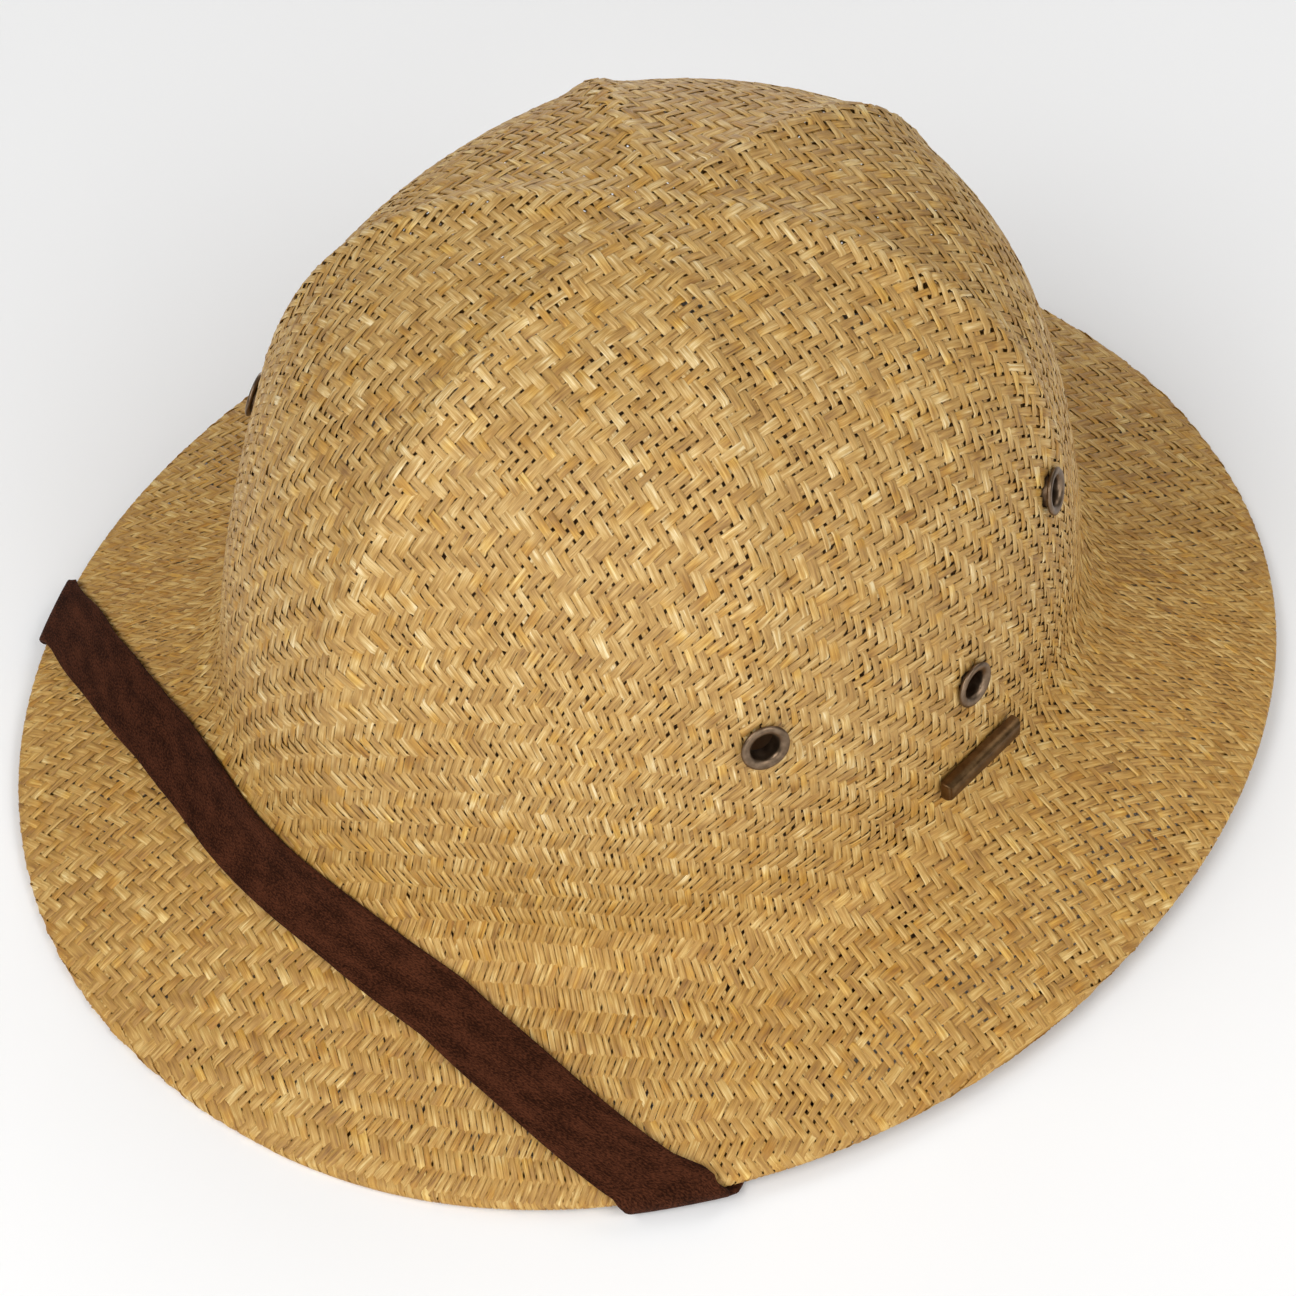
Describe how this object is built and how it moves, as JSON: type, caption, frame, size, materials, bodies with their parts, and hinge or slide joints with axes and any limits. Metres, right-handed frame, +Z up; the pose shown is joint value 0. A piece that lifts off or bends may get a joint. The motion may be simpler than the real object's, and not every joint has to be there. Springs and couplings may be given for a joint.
{
  "type": "straw hat",
  "caption": "Twill-woven straw sun hat with a six-panelled domed crown, wide sloping brim, brass eyelets, a brass bar badge and a dark suede chin strap.",
  "frame": {"origin": "middle of the hat's bounding box, on the surface that the brim rests on", "axes": "+Z up through the crown, -Y toward the front of the hat, +X toward the wearer's left"},
  "size_m": [0.2644, 0.3106, 0.1396],
  "materials": {
    "straw": "matte woven",
    "brass": "antique",
    "suede": "suede"
  },
  "bodies": {
    "root": {"straw_body": "straw", "strap": "suede", "eyelet_left_front": "brass", "eyelet_left_middle": "brass", "eyelet_left_back": "brass", "eyelet_right_front": "brass", "eyelet_right_middle": "brass", "eyelet_right_back": "brass", "badge_bar": "brass"}
  },
  "joints": []
}
